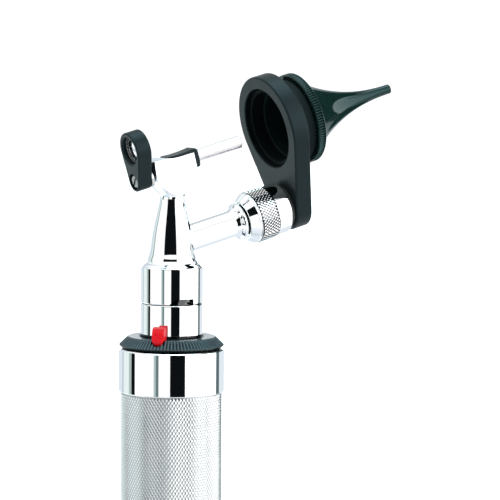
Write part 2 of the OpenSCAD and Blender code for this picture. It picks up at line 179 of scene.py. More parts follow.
# The studio round the object: panels as (from, to) azimuth and (low, high) elevation in degrees,
# their light and the width of their soft edge in degrees. Azimuth 0 is the direction from the
# object towards the camera, and it grows to the right. A later panel covers an earlier one.
SOFT_WHITE = (1.0, 1.0, 1.0)
DARK_GREEN = (0.03, 0.06, 0.055)
BLACK = (0.004, 0.005, 0.006)
STRIP_GREY = (0.42, 0.46, 0.48)
OUTLINE_GREY = (0.56, 0.61, 0.64)
RING_LIGHT = (1.6, 1.68, 1.728)
WINDOW_LIGHT = (2.6, 2.6, 2.6)
PANELS = [
    # Behind the object: pale greys that outline polished metal against the white
    ((128, 200), (-60, 60), (0.72, 0.77, 0.82), 3),
    ((-200, -136), (-60, 60), (0.68, 0.75, 0.82), 3),
    ((-136, -128), (-60, 20), (0.46, 0.53, 0.58), 5),
    ((-128, -106), (-60, 40), (0.76, 0.84, 0.83), 1.5),
    ((-106, -98), (-40, 2), (0.36, 0.46, 0.43), 4),
    ((-118, -108), (2, 24), (0.30, 0.38, 0.38), 3),
    ((-150, -104), (-60, -11), (1.104, 1.242, 1.219), 4),
    # The light overhead
    ((-200, 200), (62, 91), (2.368, 3.04, 3.2), 8),
    # Behind the object and higher up, for the head and the top of the ring
    ((-200, -150), (13, 60), OUTLINE_GREY, 3),
    ((150, 200), (13, 60), OUTLINE_GREY, 3),
    ((-200, -155), (3, 11), RING_LIGHT, 2),
    ((155, 200), (3, 11), RING_LIGHT, 2),
    # Low on the left
    ((-100, -44), (-60, -18), (0.60, 0.70, 0.78), 8),
    # The bright window on the right, and thin strips above and across it
    ((30, 114), (-9, 46), WINDOW_LIGHT, 2.5),
    ((30, 100), (62, 66), STRIP_GREY, 1),
    ((30, 100), (49, 53), STRIP_GREY, 1),
    ((30, 100), (35, 39), (0.50, 0.54, 0.56), 1),
    # Dark panels right and left, and in front the ones that show as dark stripes
    ((114, 128), (-12, -4), (0.10, 0.14, 0.15), 1.5),
    ((112, 160), (6, 56), DARK_GREEN, 3),
    ((112, 136), (-4, 56), DARK_GREEN, 2),
    ((104, 150), (-34, -12), DARK_GREEN, 2.5),
    ((-98, -87), (-40, 2), BLACK, 1),
    ((-39, -31), (-40, -0.5), (0.40, 0.49, 0.50), 3),
    ((-34, -28), (-40, -0.5), (0.13, 0.18, 0.185), 1.5),
    ((30, 62), (-30, -4), (0.93, 0.96, 1.0), 14),
    ((-3, 30), (-28, 0), BLACK, 0.7),
    ((-42, 24), (0, 27), BLACK, 0.7),
]
STUDIO_LIGHT = 1.12


def add_studio():
    world = bpy.data.worlds.new("studio")
    bpy.context.scene.world = world
    world.use_nodes = True
    graph = Graph(world.node_tree)
    direction = graph.add("ShaderNodeTexCoord").outputs["Generated"]
    toward_camera = math.atan2(CAMERA_PLACE.y, CAMERA_PLACE.x)
    turned = graph.add("ShaderNodeVectorRotate", {"Vector": direction, "Angle": -toward_camera},
                       rotation_type="Z_AXIS").outputs[0]
    parts = graph.add("ShaderNodeSeparateXYZ", {0: turned}).outputs
    degrees = 180 / math.pi
    azimuth = graph.math("MULTIPLY", graph.math("ARCTAN2", parts[1], parts[0]), degrees)
    elevation = graph.math("MULTIPLY", graph.math("ARCSINE", parts[2]), degrees)
    light = graph.mix(graph.ramp(elevation, -75, -35), (0.72, 0.78, 0.86, 1), (*SOFT_WHITE, 1))
    for (left, right), (low, high), tone, blur in PANELS:
        inside = 1.0
        for angle, edge, start, end in ((azimuth, left, 0, 1), (azimuth, right, 1, 0),
                                        (elevation, low, 0, 1), (elevation, high, 1, 0)):
            side = graph.ramp(angle, edge - blur / 2, edge + blur / 2, start, end)
            inside = graph.math("MULTIPLY", inside, side)
        light = graph.mix(inside, light, (*tone, 1))
    seen = graph.add("ShaderNodeLightPath").outputs["Is Camera Ray"]
    colour = graph.mix(seen, light, (1, 1, 1, 1))
    graph.finish(graph.add("ShaderNodeBackground", {"Color": colour, "Strength": STUDIO_LIGHT}),
                 "ShaderNodeOutputWorld")
    bpy.context.scene.view_settings.view_transform = "Standard"
    bpy.context.scene.view_settings.look = "None"


FLOOR_RADIUS = 3.0
FLOOR_GAP = 0.0002


def add_floor():
    mesh = bpy.data.meshes.new("floor")
    form = bmesh.new()
    bmesh.ops.create_circle(form, cap_ends=True, segments=96, radius=FLOOR_RADIUS)
    form.to_mesh(mesh)
    form.free()
    floor = add_object("floor", mesh)
    floor.location.z = cad_box[0][2] - FLOOR_GAP
    floor.visible_glossy = False
    material = bpy.data.materials.new("pale_floor")
    material.use_nodes = True
    graph = Graph(material.node_tree)
    speckle = graph.add("ShaderNodeTexNoise", {"Scale": 400.0, "Detail": 4.0}).outputs[0]
    tone = graph.mix(speckle, (0.93, 0.93, 0.93, 1), (0.97, 0.97, 0.97, 1))
    graph.finish(graph.add("ShaderNodeBsdfPrincipled",
                           {"Base Color": tone, "Roughness": 0.9, "Specular IOR Level": 0.1,
                            "Emission Color": (1, 1, 1, 1), "Emission Strength": 0.35}))
    mesh.materials.append(material)


# ---------------------------------------------------------------- shapes

class Axis:
    """A straight line to build about. Local z runs along it, and points are in millimetres."""

    def __init__(self, origin, direction, toward=None):
        z = Vector(direction).normalized()
        if toward is None:
            y = Vector((0, 1, 0))
            x = y.cross(z)
        else:
            x = Vector(toward) - Vector(origin)
            x = (x - z * x.dot(z)).normalized()
            y = z.cross(x)
        self.origin = Vector(origin)
        self.direction = z
        self.x, self.y = x, y
        self.matrix = (Matrix.Translation(origin) @ Matrix((x, y, z)).transposed().to_4x4()
                       @ Matrix.Scale(MM, 4))
        self.inverse = self.matrix.inverted()

    def local(self, node):
        """A CAD node's points in this frame, in millimetres"""
        return np.array([self.inverse @ point.co for point in nodes[node].data.vertices])

    def extent(self, node):
        """A CAD node's lowest and highest corners in this frame"""
        points = self.local(node)
        return points.min(0), points.max(0)

    def span(self, node):
        """Where a CAD node starts and ends along this axis"""
        low, high = self.extent(node)
        return float(low[2]), float(high[2])

    def radius(self, node):
        points = self.local(node)
        return float(np.hypot(points[:, 0], points[:, 1]).max())


def walk(beside, start, rank=lambda spot: 0):
    """The way from neighbour to neighbour until none is left. Rank chooses the first step."""
    route = [start]
    while True:
        onward = [i for i in beside[route[-1]] if i not in route]
        if not onward:
            return route
        route.append(max(onward, key=rank) if len(route) == 1 else onward[0])


SAME_SPOT = 0.02


def outline(node, axis):
    """The (radius, height) corners of a turned CAD node, in order round its section"""
    spots, spot_of = [], []
    for x, y, z in axis.local(node):
        r = math.hypot(x, y)
        known = [i for i, s in enumerate(spots) if abs(s[0] - r) + abs(s[1] - z) < SAME_SPOT]
        if not known:
            spots.append((r, z))
            known = [len(spots) - 1]
        spot_of.append(known[0])
    beside = {i: set() for i in range(len(spots))}
    for edge in nodes[node].data.edges:
        a, b = (spot_of[i] for i in edge.vertices)
        if a != b:
            beside[a].add(b)
            beside[b].add(a)
    ends = [i for i in beside if len(beside[i]) == 1]
    start = min(ends or beside, key=lambda i: (spots[i][1], spots[i][0]))
    corners = [spots[i] for i in walk(beside, start, rank=lambda i: spots[i][0])]
    if ends:
        corners = [(0.0, corners[0][1]), *corners, (0.0, corners[-1][1])]
    return [corner for i, corner in enumerate(corners) if i == 0 or corner != corners[i - 1]]


# A corner that turns less than this stays as it is, and rounding takes at most this share of
# a side
SHALLOW_TURN = math.radians(14)
SIDE_SHARE = 0.47


def rounded(points, radius=0.15, steps=4, closed=False):
    """Rounds the corners of an outline. A point may carry its own radius as a third number."""
    result, count = [], len(points)
    for i, point in enumerate(points):
        here = np.array(point[:2], float)
        if not closed and i in (0, count - 1):
            result.append(tuple(here))
            continue
        before = np.array(points[i - 1][:2], float) - here
        after = np.array(points[(i + 1) % count][:2], float) - here
        a, b = np.linalg.norm(before), np.linalg.norm(after)
        turning = math.pi - math.acos(float(np.clip(before @ after / (a * b), -1, 1)))
        if turning < SHALLOW_TURN and len(point) < 3:
            result.append(tuple(here))
            continue
        wanted = point[2] if len(point) > 2 else radius
        reach = min(wanted * math.tan(turning / 2), SIDE_SHARE * a, SIDE_SHARE * b)
        start, end = here + before / a * reach, here + after / b * reach
        for k in range(steps + 1):
            t = k / steps
            result.append(tuple((1 - t) ** 2 * start + 2 * t * (1 - t) * here + t * t * end))
    return result


def mend(mesh, merge, thin, outward=False):
    """Merges points closer than merge and drops faces thinner than thin, both in metres"""
    form = bmesh.new()
    form.from_mesh(mesh)
    bmesh.ops.remove_doubles(form, verts=form.verts, dist=merge)
    bmesh.ops.dissolve_degenerate(form, edges=form.edges, dist=thin)
    if outward:
        bmesh.ops.recalc_face_normals(form, faces=form.faces)
    form.to_mesh(mesh)
    form.free()


def new_piece(name, points, faces, axis):
    """A mesh object whose points are given in millimetres in an axis's frame"""
    mesh = bpy.data.meshes.new(name)
    mesh.from_pydata([axis.matrix @ Vector(point) for point in points], [], faces)
    mend(mesh, 1e-7, 1e-8, outward=True)
    return add_object(name, mesh)


def lathe(name, corners, axis, turns=144, closed=False, shape=None):
    """A turned solid. shape(radius, height, angle) may change a radius, for ribs or a thread."""
    points, faces, rows = [], [], len(corners)
    for radius, height in corners:
        for k in range(turns):
            angle = TURN * k / turns
            r = shape(radius, height, angle) if shape else radius
            points.append((r * math.cos(angle), r * math.sin(angle), height))
    for i in range(rows if closed else rows - 1):
        low, high = i * turns, (i + 1) % rows * turns
        for k in range(turns):
            n = (k + 1) % turns
            faces.append((low + k, low + n, high + n, high + k))
    return new_piece(name, points, faces, axis)


def spin(name, corners, axis, radius, steps=4, turns=144):
    """A turned solid with rounded corners. Its section is closed if it starts off the axis."""
    closed = corners[0][0] > 1e-6
    return lathe(name, rounded(corners, radius, steps, closed), axis, turns, closed)


def plate(name, contour, layers, axis):
    """A plate whose edge follows contour(inset) through its (inset, height) layers"""
    rings = [[(x, y, height) for x, y in contour(inset)] for inset, height in layers]
    points, count = sum(rings, []), len(rings[0])
    faces = []
    for low in range(0, len(points) - count, count):
        for k in range(count):
            n = (k + 1) % count
            faces.append((low + k, low + n, low + count + n, low + count + k))
    faces.append(tuple(range(count - 1, -1, -1)))
    faces.append(tuple(range(len(points) - count, len(points))))
    return new_piece(name, points, faces, axis)


def rounded_edge(low, high, radius, steps=5):
    """(inset, height) layers from low to high with a rounded rim at both faces"""
    arc = [(radius * (1 - math.sin(a)), radius * (1 - math.cos(a)))
           for a in (math.pi / 2 * k / steps for k in range(steps + 1))]
    return [(inset, low + rise) for inset, rise in arc] + [
        (inset, high - rise) for inset, rise in reversed(arc)]


def teardrop(big, small, reach, steps=72):
    """The contour of a teardrop: big end at the origin, small end reach millimetres along x"""
    turn = math.pi / 2 - math.asin((big - small) / reach)
    ends = ((0, big, turn, TURN - turn, steps), (reach, small, -turn, turn, steps // 2))

    def contour(inset):
        return [(x + (r - inset) * math.cos(a), (r - inset) * math.sin(a))
                for x, r, start, end, count in ends
                for a in (start + (end - start) * k / count for k in range(count + 1))]
    return contour


def prism(name, points, low, high, axis):
    """A polygon in the axis's frame, extruded from low to high along it"""
    return plate(name, lambda inset: points, [(0, low), (0, high)], axis)


def bore(radius, low, high, lips=(0, 0)):
    """Outline of a cutter that leaves a hole with rounded lips at its two faces, and runs on for
    1 mm past them"""
    def lip(size, face, side, steps=5):
        arc = [(radius + size * (1 - math.cos(a)), face + side * size * (math.sin(a) - 1))
               for a in (math.pi / 2 * k / steps for k in range(steps + 1))]
        return arc if size else [(radius, face)]
    bottom, top = lip(lips[0], low, -1)[::-1], lip(lips[1], high, 1)
    return [(0, low - 1), (bottom[0][0], low - 1), *bottom, *top, (top[-1][0], high + 1),
            (0, high + 1)]


def settle(piece):
    """Applies a piece's modifiers to its mesh"""
    graph = bpy.context.evaluated_depsgraph_get()
    mesh = bpy.data.meshes.new_from_object(piece.evaluated_get(graph))
    piece.modifiers.clear()
    piece.data = mesh


def cut(piece, *tools, operation="DIFFERENCE", solver="EXACT"):
    """Takes closed solids away from a piece, or combines them in another way"""
    for tool in tools:
        step = piece.modifiers.new("cut", "BOOLEAN")
        step.operation, step.object, step.solver = operation, tool, solver
    settle(piece)
    for tool in tools:
        bpy.data.objects.remove(tool)
    return piece


def cut_plate(piece, *tools, operation="DIFFERENCE"):
    """A cut that also merges the double points which it leaves in a plate's flat faces"""
    cut(piece, *tools, operation=operation, solver="MANIFOLD")
    mend(piece.data, 3e-6, 1e-6)
    return piece


def bevel(piece, width, segments=3, angle=30):
    """Rounds a piece's sharp edges, width in millimetres"""
    step = piece.modifiers.new("round", "BEVEL")
    step.width = width * MM
    step.segments = segments
    step.angle_limit = math.radians(angle)
    step.use_clamp_overlap = True
    step.harden_normals = False
    settle(piece)
    return piece


def join(name, *pieces):
    """One object from several closed shells"""
    form = bmesh.new()
    for piece in pieces:
        form.from_mesh(piece.data)
    mesh = bpy.data.meshes.new(name)
    form.to_mesh(mesh)
    form.free()
    for piece in pieces:
        bpy.data.objects.remove(piece)
    return add_object(name, mesh)


SLEEVE_WALL = 0.25


def knurl(name, radius, depth, low, high, around, tall, axis, flat=0.0):
    """A closed sleeve of raised diamonds: around of them in a row, each tall millimetres high.
    Flat is the size of their flat tops as a share of the diamond, 0 for a point."""
    rows = 2 * round((high - low) / tall)
    step = (high - low) / rows
    foot, back = radius - depth, radius - depth - SLEEVE_WALL
    points, faces = [], []

    def point(r, half_turns, row):
        angle = math.pi * half_turns / around
        points.append((r * math.cos(angle), r * math.sin(angle), low + row * step))
        return len(points) - 1

    def diamond(corners, middle, row):
        if flat:
            peaks = [point(radius, middle - flat, row), point(radius, middle, row - flat),
                     point(radius, middle + flat, row), point(radius, middle, row + flat)]
        else:
            peaks = [point(radius, middle, row)] * 4
        for i in range(4):
            n = (i + 1) % 4
            faces.append(tuple(dict.fromkeys((corners[i], corners[n], peaks[n], peaks[i]))))
        if flat:
            faces.append(tuple(peaks))

    crossing = [[point(foot, 2 * k + j % 2, j) for k in range(around)] for j in range(rows + 1)]
    for j in range(rows + 1):
        for k in range(around):
            left, right = crossing[j][k], crossing[j][(k + 1) % around]
            beside = (k + j % 2) % around
            if j == rows:
                faces.append((left, crossing[j - 1][beside], right))
            elif j == 0:
                faces.append((left, right, crossing[1][beside]))
            else:
                below, above = crossing[j - 1][beside], crossing[j + 1][beside]
                diamond((left, below, right, above), 2 * k + 1 + j % 2, j)
    inner = [[point(back, 2 * k, j) for k in range(around)] for j in (0, rows)]
    for ring, edge in ((inner[0], crossing[0]), (inner[1], crossing[rows]), inner):
        for k in range(around):
            n = (k + 1) % around
            faces.append((ring[k], ring[n], edge[n], edge[k]))
    return new_piece(name, points, faces, axis)


def dress(mesh, slot, sharp=35):
    """Smooth shading up to an angle in degrees, and the material of a slot"""
    mesh.polygons.foreach_set("use_smooth", [True] * len(mesh.polygons))
    mesh.set_sharp_from_angle(angle=math.radians(sharp))
    mesh.materials.clear()
    mesh.materials.append(MATERIALS[slot])


def hand_over(piece, node, sharp=35):
    """Dresses a piece that stands for a CAD node, and lets it ride on that node's body"""
    dress(piece.data, SLOT_OF[node], sharp)
    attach(piece, BODY_OF[node])
    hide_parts(node)


def done(piece, node, sharp=35):
    """Hands a piece over, with shading that favours its large faces"""
    weighted = piece.modifiers.new("shading", "WEIGHTED_NORMAL")
    weighted.keep_sharp = True
    weighted.weight = 80
    hand_over(piece, node, sharp)


def add_turned(node, axis, radius=0.15, turns=144):
    """A finely turned copy of a turned CAD node with rounded corners"""
    done(spin(node + "_turned", outline(node, axis), axis, radius, turns=turns), node)


# ---------------------------------------------------------------- axes of the object

UPRIGHT = Axis((0, 0, 0), (0, 0, 1))
JOINT_Z = joints["head_twist"]["pos_m"][2] / MM
optic_direction = Vector(joints["speculum_pull"]["axis"])


def middle_of(node):
    """A point on the axis of a node that is turned about the optical direction"""
    rough = Axis((0, 0, 0), optic_direction)
    low, high = rough.extent(node)
    return rough.matrix @ Vector(((low[0] + high[0]) / 2, (low[1] + high[1]) / 2, 0))


speculum_middle = middle_of("speculum")
optic_slope = optic_direction.z / optic_direction.x
OPTIC_ORIGIN = Vector((0, 0, speculum_middle.z - speculum_middle.x * optic_slope))
OPTIC = Axis(OPTIC_ORIGIN, optic_direction)
# The upright plane that holds the optical axis: x runs along that axis, and y points down
SIDE = Axis(OPTIC_ORIGIN, (0, 1, 0), toward=OPTIC_ORIGIN + optic_direction)


def drop_of(node):
    """How far a turned node's axis lies below the optical axis, in millimetres"""
    return (OPTIC.inverse @ middle_of(node)).x


def parallel(drop):
    """The point beside OPTIC's origin that lies drop millimetres below the optical axis"""
    return OPTIC.matrix @ Vector((drop, 0, 0))


ARM_DROP = drop_of("tension_nut")
ARM = Axis(parallel(ARM_DROP), optic_direction)
LIGHT = Axis(parallel(drop_of("light_tube")), optic_direction)
lens_middle = middle_of("lens_ring")
LENS_PIVOT = Axis(parallel(drop_of("lens_screw")), optic_direction, toward=lens_middle)
LENS_REACH = (LENS_PIVOT.inverse @ lens_middle).x
LENS = Axis(LENS_PIVOT.matrix @ Vector((LENS_REACH, 0, 0)), optic_direction)

# The button's axes: upright with x through the button, and outwards with x up
button_middle = sum(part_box("lock_button"), Vector()) / 2
BUTTON_AXIS = Axis((0, 0, 0), (0, 0, 1), toward=(button_middle.x, button_middle.y, 0))
BUTTON_OUTWARDS = Axis((0, 0, 0), BUTTON_AXIS.x, toward=(0, 0, 1))
BUTTON_W = float(BUTTON_AXIS.extent("lock_button")[1][1] * 2)


# ---------------------------------------------------------------- materials

def surface(name, colour, metallic=0.0, roughness=0.3, grain=900.0, tone=0.04, uneven=0.05,
            bump=0.0, stretch=(1, 1, 1), coat=0.0, spots=None, transmission=0.0, specular=0.5,
            ior=1.5, tint=(1, 1, 1), zones=(), ribs=None):
    """A finish with grain: tone is how much its colour varies, uneven its roughness. Zones are
    the grooves and recesses where shade is painted into the colour (on the lens screw's head
    and the lens ring, a darker steel), and shade is painted into the gaps between ribs too."""
    material = bpy.data.materials.new(name)
    material.use_nodes = True
    graph = Graph(material.node_tree)
    place = graph.add("ShaderNodeTexCoord").outputs["Object"]
    place = graph.add("ShaderNodeMapping", {"Vector": place, "Scale": stretch}).outputs[0]
    fine = graph.add("ShaderNodeTexNoise", {"Vector": place, "Scale": grain, "Detail": 6.0,
                                            "Roughness": 0.65}).outputs[0]
    broad = graph.add("ShaderNodeTexNoise", {"Vector": place, "Scale": grain / 9,
                                             "Detail": 3.0}).outputs[0]
    mixed = graph.math("MULTIPLY_ADD", fine, 0.6, graph.math("MULTIPLY", broad, 0.4))
    dark = tuple(part * (1 - tone) for part in colour)
    light = tuple(min(1.0, part * (1 + tone)) for part in colour)
    base = graph.mix(graph.ramp(mixed, 0.3, 0.7), (*dark, 1), (*light, 1))
    darker = [(graph.within(zone), zone.shade) for zone in zones]
    if ribs:
        darker.append((graph.between(ribs), ribs.shade))
    for inside, shade in darker:
        base = graph.mix(inside, base, (*(part * shade for part in colour), 1))
    if spots:
        flecks = graph.add("ShaderNodeTexVoronoi", {"Vector": place, "Scale": grain * 0.7})
        near = graph.ramp(flecks.outputs["Distance"], 0.10, 0.22, 0.6, 0.0)
        base = graph.mix(near, base, (*spots, 1))
    rough = graph.ramp(mixed, 0.3, 0.7, max(0.0, roughness - uneven), roughness + uneven)
    for zone in zones:
        if zone.dull is not None:
            inside = graph.within(zone)
            rest = graph.math("MULTIPLY", rough, graph.math("SUBTRACT", 1.0, inside))
            rough = graph.math("ADD", rest, graph.math("MULTIPLY", inside, zone.dull))
    inputs = {"Base Color": base, "Metallic": metallic, "Roughness": rough,
              "Coat Weight": coat, "Coat Roughness": 0.05, "Transmission Weight": transmission,
              "Specular IOR Level": specular, "Specular Tint": (*tint, 1), "IOR": ior}
    if bump:
        bumps = graph.add("ShaderNodeBump", {"Strength": bump, "Distance": 0.00004,
                                             "Height": mixed})
        inputs["Normal"] = bumps.outputs[0]
    graph.finish(graph.add("ShaderNodeBsdfPrincipled", inputs))
    return material


# A round region where the colour is darker: full inside the foot radius, none at the top radius,
# from low to high along its axis, in millimetres. Mostly this is painted shade in grooves and
# recesses; on the lens screw's head and the lens ring it is a darker steel. Shade is the share
# of colour left, and dull is the roughness there, if it differs.
Zone = namedtuple("Zone", "axis foot top low high shade dull", defaults=(None,))
# Ribs round an axis, outside an inner radius in millimetres, with shade painted between them.
# Shade is the share of colour left between them.
Ribs = namedtuple("Ribs", "axis count inner shade")

RING_RIBS = 92
RING_TOP_R = 12.2
SPECULUM_RIBS = 104
GRIP_R = UPRIGHT.radius("grip_tube")
NUT_R = 7.4
# Where the nut's knurl starts and ends, from the nut's lower end
NUT_KNURL = (2.85, 8.45)
ANY_HEIGHT = (-60, 60)
ring_low, ring_high = UPRIGHT.span("rheostat_ring")
nut_low = ARM.span("tension_nut")[0]
holder_low, holder_high = OPTIC.span("speculum_holder")
# Painted shade: the chrome is darkened in the grooves of the nut's knurl
NUT_GROOVE_SHADE = Zone(ARM, NUT_R - 0.19, NUT_R - 0.10, nut_low + NUT_KNURL[0],
                   nut_low + NUT_KNURL[1], 0.02)
# Painted shade: the chrome is darkened in the neck's undercut groove above the ring
NECK_GROOVE_SHADE = Zone(UPRIGHT, 8.4, 8.5, ring_high - 1, ring_high + 0.75, 0.05)
# Painted shade: the chrome is darkened inside the collar's socket and on the spigot, behind the window
COLLAR_SOCKET_SHADE = Zone(UPRIGHT, 8.2, 8.45, JOINT_Z - 0.4, JOINT_Z + 6.7, 0.10)
# Painted shade: the knurled chrome is darkened in the grooves of the grip's knurl
GRIP_GROOVE_SHADE = Zone(UPRIGHT, GRIP_R - 0.14, GRIP_R - 0.05, 0, JOINT_Z, 0.45)
# Painted shade: the ring's plastic is darkened at its lower end, by the groove under it
RING_UNDERSIDE_SHADE = Zone(UPRIGHT, 20, 21, ring_low - 1, ring_low + 0.85, 0.1)
# Painted shade: the holder is darkened, and made rougher, inside its bore and on the seat
HOLDER_BORE_SHADE = Zone(OPTIC, 11.45, 11.6, holder_low + 0.35, holder_high + 6, 0.12, 0.75)
# Painted shade: the speculum is darkened, and made rougher, inside its bore
SPECULUM_BORE_SHADE = Zone(OPTIC, 10.4, 10.6, holder_low - 5, holder_high + 6.5, 0.2, 0.7)
LENS_SCREW_HEAD = Zone(LENS_PIVOT, 2.3, 2.4, *ANY_HEIGHT, 0.42)
LENS_RING = Zone(LENS, 5.0, 5.1, *ANY_HEIGHT, 0.30)

METALS = {
    "chrome": dict(
        colour=(0.93, 0.945, 0.95), roughness=0.035, grain=700, tone=0.012, uneven=0.018,
        zones=(NUT_GROOVE_SHADE, COLLAR_SOCKET_SHADE, NECK_GROOVE_SHADE)),
    "knurled_chrome": dict(
        colour=(0.93, 0.98, 0.99), roughness=0.34, grain=1500, tone=0.05, bump=0.05,
        zones=(GRIP_GROOVE_SHADE,)),
    "steel": dict(
        colour=(0.66, 0.66, 0.65), roughness=0.28, grain=1600, tone=0.08, uneven=0.08, bump=0.2,
        stretch=(1, 6, 1), zones=(LENS_SCREW_HEAD, LENS_RING)),
    "satin_steel": dict(
        colour=(0.86, 0.83, 0.86), grain=1800, tone=0.05, uneven=0.06, bump=0.15,
        stretch=(0.08, 1, 1)),
    "spring_steel": dict(
        colour=(0.55, 0.56, 0.58), roughness=0.26, grain=2200, tone=0.10, uneven=0.08, bump=0.15),
    "brass": dict(
        colour=(0.78, 0.58, 0.27), roughness=0.24, grain=1200, tone=0.10, uneven=0.08, bump=0.1),
}
# Plastics, lacquers, insulators and the cut ends of the fibres
PLASTICS = {
    "ring_plastic": dict(
        colour=(0.026, 0.039, 0.046), roughness=0.24, grain=2400, tone=0.18, uneven=0.06,
        bump=0.12, tint=(0.6, 0.9, 1.0), zones=(RING_UNDERSIDE_SHADE,),
        # Painted shade: the ring's plastic is darkened in the gaps between its ribs
        ribs=Ribs(UPRIGHT, RING_RIBS, RING_TOP_R + 0.2, 0.03)),
    "red_plastic": dict(
        colour=(0.60, 0.003, 0.010), grain=1500, tone=0.08, uneven=0.06, bump=0.1, specular=0.22),
    "black_lacquer": dict(
        colour=(0.008, 0.012, 0.013), roughness=0.34, grain=2600, tone=0.22, uneven=0.06, bump=0.2,
        tint=(0.7, 0.92, 1.0), specular=0.16),
    "black_anodised": dict(
        colour=(0.006, 0.0095, 0.0105), roughness=0.36, grain=2600, tone=0.2, uneven=0.06,
        bump=0.2, specular=0.18, tint=(0.6, 0.92, 1.0), zones=(HOLDER_BORE_SHADE,)),
    "speculum_plastic": dict(
        colour=(0.003, 0.012, 0.010), roughness=0.045, tone=0.15, uneven=0.004, specular=0.36,
        tint=(0.5, 0.92, 1.0), zones=(SPECULUM_BORE_SHADE,)),
    "ivory_insulator": dict(
        colour=(0.74, 0.69, 0.56), roughness=0.45, grain=1300, tone=0.06, uneven=0.08, bump=0.1),
    "black_insulator": dict(
        colour=(0.03, 0.03, 0.03), roughness=0.5, grain=1700, tone=0.2, uneven=0.1, bump=0.2),
    "resistance_strip": dict(
        colour=(0.20, 0.09, 0.04), roughness=0.5, grain=2600, tone=0.3, uneven=0.1, bump=0.4),
    "cell_sleeve": dict(
        colour=(0.03, 0.10, 0.34), roughness=0.32, grain=500, tone=0.10, uneven=0.06, coat=0.4),
    "fibre_glass": dict(
        colour=(0.86, 0.84, 0.74), roughness=0.35, grain=5200, tone=0.20, uneven=0.1, bump=0.3,
        spots=(0.25, 0.22, 0.15)),
}
GLASSES = {
    "bulb_glass": dict(
        colour=(0.97, 0.98, 0.98), roughness=0.03, tone=0.01, uneven=0.02, ior=1.47),
    "lens_glass": dict(
        colour=(0.98, 0.99, 1.0), roughness=0.01, tone=0.005, uneven=0.008, ior=1.52),
}
MATERIALS = {slot: surface(slot, metallic=1.0, **finish) for slot, finish in METALS.items()}
MATERIALS.update({slot: surface(slot, **finish) for slot, finish in PLASTICS.items()})
MATERIALS.update({slot: surface(slot, grain=500, transmission=1.0, **finish)
                  for slot, finish in GLASSES.items()})


# ---------------------------------------------------------------- handle

# Diamonds of the grip's knurl
GRIP_AROUND = 94
GRIP_TALL = 1.5
GRIP_DEPTH = 0.13


def add_grip_tube():
    low, high = UPRIGHT.span("grip_tube")
    band = UPRIGHT.span("upper_band")[0]
    bore_r = min(corner[0] for corner in outline("grip_tube", UPRIGHT))
    land_r, core_r, seat_r = GRIP_R - 0.06, GRIP_R - GRIP_DEPTH - 0.06, GRIP_R - 0.5
    knurl_low = low + 1.4
    corners = [(bore_r, low), (land_r, low), (land_r, knurl_low - 0.25), (core_r, knurl_low),
               (core_r, band - 0.02), (seat_r, band), (seat_r, high), (bore_r, high)]
    shell = spin("grip_shell", corners, UPRIGHT, 0.05)
    diamonds = knurl("grip_diamonds", GRIP_R, GRIP_DEPTH, knurl_low - 0.05, band - 0.07,
                     GRIP_AROUND, GRIP_TALL, UPRIGHT)
    done(join("knurled_grip", shell, diamonds), "grip_tube", sharp=8)


NECK_R = 8.53
NECK_FILLET = 0.35
SPIGOT_R = 6.88
# The bayonet's lugs: outer radius, heights over the joint, and their middles in degrees
LUG_R = 7.9
LUG_HEIGHTS = (0.9, 2.5)
LUG_PLACES = (28, 148, 268)
LUG_HALF_ANGLE = 12


def add_neck():
    low, high = UPRIGHT.span("bayonet_neck")
    sleeve_r, flange_r, undercut_r = 4.6, 12.35, NECK_R - 0.35
    flange_top = low + 2.4
    corners = [(sleeve_r, low), (flange_r, low), (flange_r, flange_top),
               (undercut_r, flange_top), (undercut_r, ring_high + 0.6),
               (NECK_R, ring_high + 0.75), (NECK_R, JOINT_Z, NECK_FILLET), (SPIGOT_R, JOINT_Z),
               (SPIGOT_R, high, 0.3), (sleeve_r, high)]
    neck = spin("neck", corners, UPRIGHT, 0.08, 6, turns=224)
    lugs = []
    for middle in LUG_PLACES:
        arc = [math.radians(middle + LUG_HALF_ANGLE * k / 8) for k in range(-8, 9)]
        contour = [(r * math.cos(a), r * math.sin(a))
                   for r, route in ((LUG_R, arc), (SPIGOT_R - 0.2, arc[::-1])) for a in route]
        lugs.append(prism("lug", contour, *(JOINT_Z + height for height in LUG_HEIGHTS), UPRIGHT))
    done(join("bayonet_neck_turned", neck, *lugs), "bayonet_neck")


THREAD_R = 13.15
THREAD_DEPTH = 0.35
THREAD_PITCH = 1.25


def add_end_cap():
    low, high = UPRIGHT.span("end_cap")
    r = UPRIGHT.radius("end_cap")
    rim = UPRIGHT.span("grip_tube")[0] - 0.1
    cup_r, cup_floor, relief_r = 11.6, low + 3, THREAD_R - 0.45
    grooves = []
    for k in range(3):
        middle = low + 3.2 + 1.5 * k
        grooves += [(r, middle - 0.3), (r - 0.3, middle), (r, middle + 0.3)]
    outside = [(0, low + 0.25), (r - 3, low + 0.25), (r - 3.3, low), (r - 0.8, low),
               (r, low + 0.8, 0.8), *grooves, (r, rim, 0.3), (relief_r, rim),
               (relief_r, rim + 0.5)]
    thread = [(THREAD_R, rim + 0.5 + k * THREAD_PITCH / 8) for k in range(1, 30)]
    inside = [(THREAD_R, high), (cup_r, high), (cup_r, cup_floor), (0, cup_floor)]

    def shape(radius, height, angle):
        if abs(radius - THREAD_R) > 1e-6:
            return radius
        wave = 0.5 + 0.5 * math.cos(TURN * (height / THREAD_PITCH) - angle)
        fade = min(1.0, (high - height) / 0.8)
        return radius - THREAD_DEPTH * (1 - fade * wave)

    corners = rounded(outside, 0.12) + thread + rounded(inside, 0.2)
    done(lathe("end_cap_turned", corners, UPRIGHT, turns=192, shape=shape), "end_cap", sharp=50)


